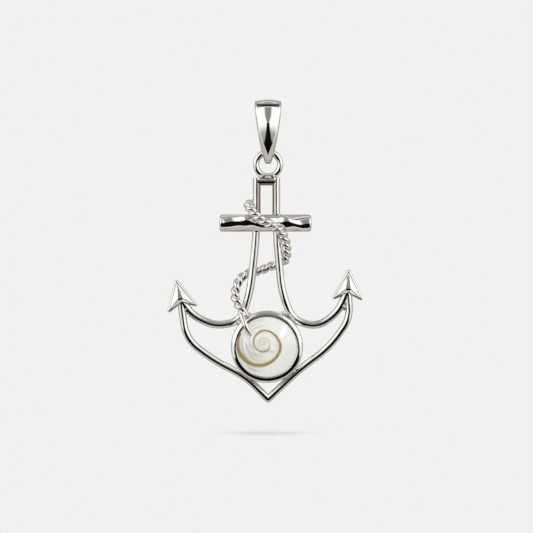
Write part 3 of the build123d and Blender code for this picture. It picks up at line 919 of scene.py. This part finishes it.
# %% The dark place of the camera, and which rays see the tent
BACKDROP = "#F1F1F1"
EVEN_LIGHT = "#CFCECB"
CAMERA_BLACK = "#0F0E0D"
DARK_PITCH = (7, 3, -56, -66)
DARK_WIDTH = 0.34
DARK_GROWTH = -0.018
DARK_WIDEST = 0.84
DARK_EDGE = (-0.05, 0.05)
grown = add_node(tree, "Math", [pitch, DARK_GROWTH, DARK_WIDTH], operation="MULTIPLY_ADD")
dark_width = add_node(tree, "Math", [grown, DARK_WIDEST], operation="MINIMUM")
inside = add_node(tree, "Math", [dark_width, aside], operation="SUBTRACT")
dark_masks = (fade(tree, pitch, *DARK_PITCH), fade(tree, inside, *DARK_EDGE))
tent = lay_over(tree, tent, CAMERA_BLACK, *dark_masks)
# the soft rays that light the shell get one even tone, which keeps them free of grain
rays = add_node(tree, "LightPath")
tent = lay_over(tree, tent, EVEN_LIGHT, rays.outputs["Is Diffuse Ray"])
tent = lay_over(tree, tent, BACKDROP, rays.outputs["Is Camera Ray"])
background = add_node(tree, "Background", {"Color": tent, "Strength": 1.0})
add_node(tree, "OutputWorld", [background])
print("the tent has", len(tree.nodes), "nodes")


# %% [markdown]
# ## The lamps
# The tent gives the silver all its light, and lamps finish the rest. One overhead throws the
# soft shadow on the paper and shines on nothing else. One beside the camera lifts the white
# of the shell and of the paper. Silver would show them as hard squares, so both are hidden
# from reflections. A slim window at the upper right makes the bright streak on the shell's
# dome, and shines on the shell alone. A collection says which pieces such a lamp reaches.

# %% The lamps
AIM = Vector((0.0, 0.0, -36.0)) * MM
Lamp = namedtuple("Lamp", "name x y z width height turn_deg watts mirrored reaches")
LAMPS = (
    Lamp("lamp_overhead", 0, 10, 160, 110, 110, 0, 0.16, False, "only_floor"),
    Lamp("lamp_beside_camera", 40, -330, 60, 120, 120, 0, 0.37, False, "everything"),
    Lamp("window", 102, -370, 50, 8, 60, -24, 0.05, True, "only_shell"),
)
only_floor = bpy.data.collections.new("only_floor")
only_shell = bpy.data.collections.new("only_shell")
only_shell.objects.link(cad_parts["shell"])
for lamp in LAMPS:
    bpy.ops.object.select_all(action="DESELECT")
    bpy.ops.object.light_add(type="AREA", location=Vector((lamp.x, lamp.y, lamp.z)) * MM)
    light = bpy.context.object
    light.name = lamp.name
    light.data.shape = "RECTANGLE"
    light.data.size = lamp.width * MM
    light.data.size_y = lamp.height * MM
    light.data.energy = lamp.watts
    light.rotation_euler = (AIM - light.location).to_track_quat("-Z", "Y").to_euler()
    light.rotation_euler.rotate_axis("Z", radians(lamp.turn_deg))
    light.visible_glossy = lamp.mirrored
    if lamp.reaches != "everything":
        light.light_linking.receiver_collection = bpy.data.collections[lamp.reaches]
    print(lamp.name, "reaches", lamp.reaches)


# %% [markdown]
# ## The floor
# Under the pendant lies a pale sheet that shows a soft shadow. A whole sheet would draw a
# horizon across the backdrop, so it is a disc with a soft oval spot of paper, and clear
# beyond that. The paper is matt, so its shader only scatters light. The silver doesn't mirror
# it, because the tent already has its table.

# %% The floor
FLOOR_DROP = -49.3 * MM
FLOOR_RADIUS = 90 * MM
FLOOR_POINTS = 96
PAPER_WHITE = "#E9E9E9"
SPOT_HALF = (10.5 * MM, 17 * MM, 17 * MM)
SPOT_FADE = (0.19, 1.0)
SPOT_COVER = (0.74, 0.0)
bpy.ops.object.select_all(action="DESELECT")
bpy.ops.mesh.primitive_circle_add(
    vertices=FLOOR_POINTS,
    radius=FLOOR_RADIUS,
    fill_type="NGON",
    location=(0, 0, FLOOR_DROP),
)
floor = bpy.context.object
floor.name = "floor"
apply_place(floor)
floor.visible_glossy = False
only_floor.objects.link(floor)
floor_paper, tree = new_material("pale_paper")
place = add_node(tree, "TexCoord").outputs["Object"]
spot = add_node(
    tree,
    "Mapping",
    {"Vector": place, "Location": (0, 0, FLOOR_DROP), "Scale": SPOT_HALF},
    vector_type="TEXTURE",
)
distance = add_node(tree, "VectorMath", [spot], operation="LENGTH")
cover_inputs = [distance, *SPOT_FADE, *SPOT_COVER]
cover = add_node(tree, "MapRange", cover_inputs, interpolation_type="SMOOTHSTEP")
paper = add_node(tree, "BsdfDiffuse", {"Color": linear(PAPER_WHITE)})
clear = add_node(tree, "BsdfTransparent")
mixed = add_node(tree, "MixShader", [cover, clear, paper])
add_node(tree, "OutputMaterial", [mixed])
paint(floor, floor_paper)
print("floor, mm below the chain:", -FLOOR_DROP / MM)


# %% [markdown]
# ## The camera
# The photo is taken straight from the front with a long lens, so that near and far parts
# keep their size. The lens follows from the distance and from the width of the view.

# %% The camera
VIEW_WIDTH = 79.95 * MM
CAMERA_DISTANCE = 430 * MM
VIEW_MIDDLE = Vector((-0.24, 0.0, -24.35)) * MM
SENSOR_WIDTH = 36.0
CLIP_START = 10 * MM
bpy.ops.object.camera_add(
    location=VIEW_MIDDLE - Vector((0.0, CAMERA_DISTANCE, 0.0)),
    rotation=(radians(90), 0.0, 0.0),
)
camera = bpy.context.object
camera.data.sensor_width = SENSOR_WIDTH
camera.data.lens = SENSOR_WIDTH * CAMERA_DISTANCE / VIEW_WIDTH
camera.data.clip_start = CLIP_START
scene.camera = camera
scene.view_settings.view_transform = "Standard"
print("lens, mm:", round(camera.data.lens, 1))
